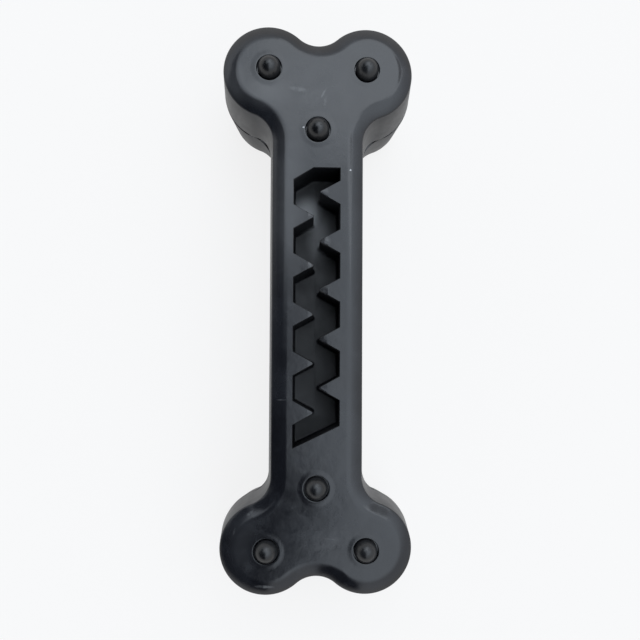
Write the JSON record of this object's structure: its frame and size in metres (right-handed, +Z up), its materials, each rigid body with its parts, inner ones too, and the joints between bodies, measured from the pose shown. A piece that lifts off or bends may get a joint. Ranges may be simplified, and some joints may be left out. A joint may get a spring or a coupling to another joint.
{
  "type": "rubber chew toy",
  "caption": "Bone-shaped rubber chew toy of two mating halves with a toothed treat slot in each face, held together by domed pins.",
  "frame": {"origin": "centre of the toy's footprint, on the plane that the tips of the lower domes stand on", "axes": "+Y along the bone towards its head end, where the slot begins with half a tooth; +X across it; +Z up, out of the upper face"},
  "size_m": [0.0744, 0.216, 0.0514],
  "materials": {
    "half_rubber": "matt charcoal rubber with a faint sheen and handling marks",
    "pin_rubber": "smooth near-black rubber"
  },
  "bodies": {
    "lower_body": {"lower_half": "half_rubber", "head_pin_left": "pin_rubber", "head_pin_right": "pin_rubber", "head_shaft_pin": "pin_rubber", "foot_shaft_pin": "pin_rubber", "foot_pin_left": "pin_rubber", "foot_pin_right": "pin_rubber"},
    "upper_body": {"upper_half": "half_rubber"}
  },
  "joints": [
    {"name": "upper_half_lift", "type": "slide", "parent": "lower_body", "child": "upper_body", "axis": [0, 0, 1], "range_m": [0, 0.03]}
  ]
}
